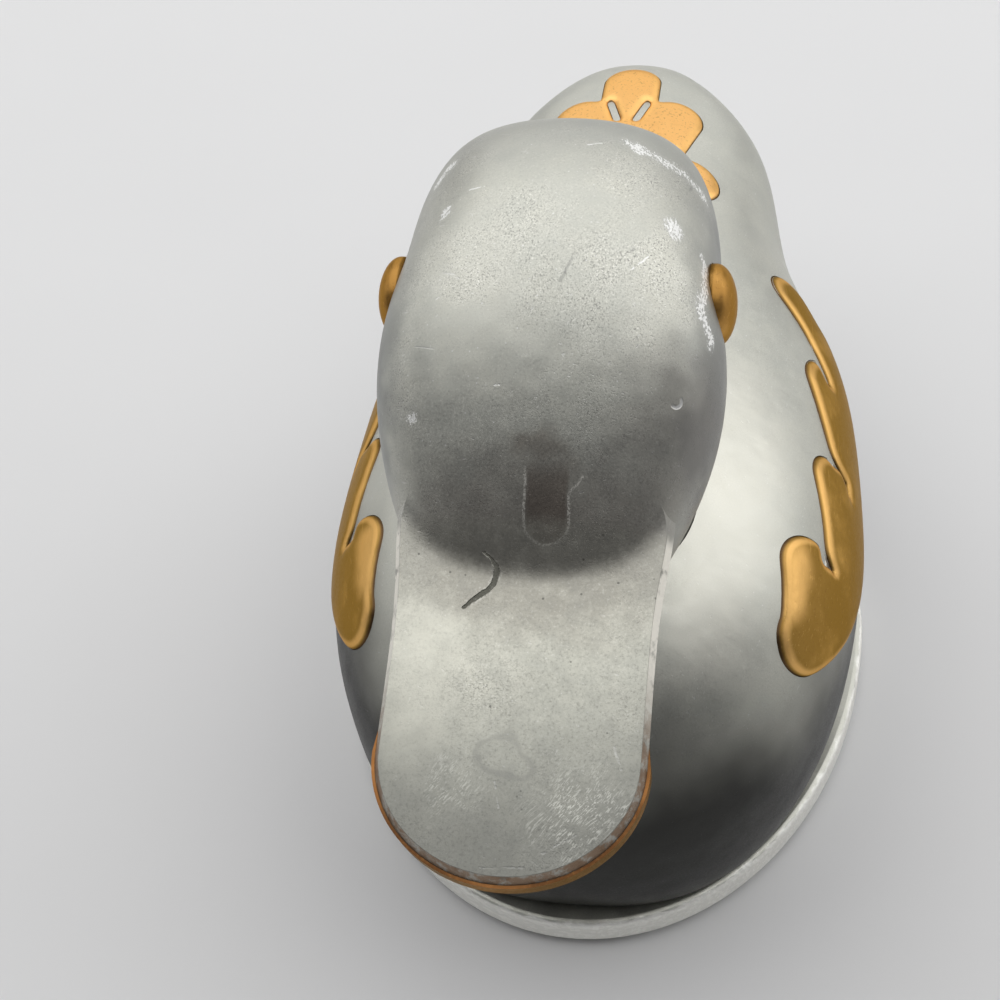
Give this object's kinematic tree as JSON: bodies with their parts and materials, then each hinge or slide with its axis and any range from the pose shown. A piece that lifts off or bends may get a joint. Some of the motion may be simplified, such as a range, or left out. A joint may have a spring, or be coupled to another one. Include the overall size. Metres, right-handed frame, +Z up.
{
  "type": "duck figurine",
  "caption": "Free-standing hollow metal duck with brass wing and tail inlays, domed eyes, a flat bill and an oval base on a felt pad.",
  "frame": {"origin": "on the surface that the duck stands on, under the middle of its length and width", "axes": "+Z up, -Y towards the bill, +X to the duck's left"},
  "size_m": [0.0744, 0.1502, 0.0985],
  "materials": {
    "pewter": "dull grey pewter with a satin, scratched patina",
    "pewter_base": "pewter with a bright filed edge",
    "brass": "satin brass",
    "steel": "plain steel",
    "felt": "dark felt"
  },
  "bodies": {
    "root": {"body_shell": "pewter", "head_casting": "pewter", "lower_bill": "brass", "eye_left": "brass", "eye_right": "brass", "wing_inlay_left": "brass", "wing_inlay_right": "brass", "tail_inlay": "brass", "base_plate": "pewter_base", "base_screws": "steel", "felt_pad": "felt", "neck_stud": "steel", "neck_washer": "steel", "neck_nut": "steel"}
  },
  "joints": []
}
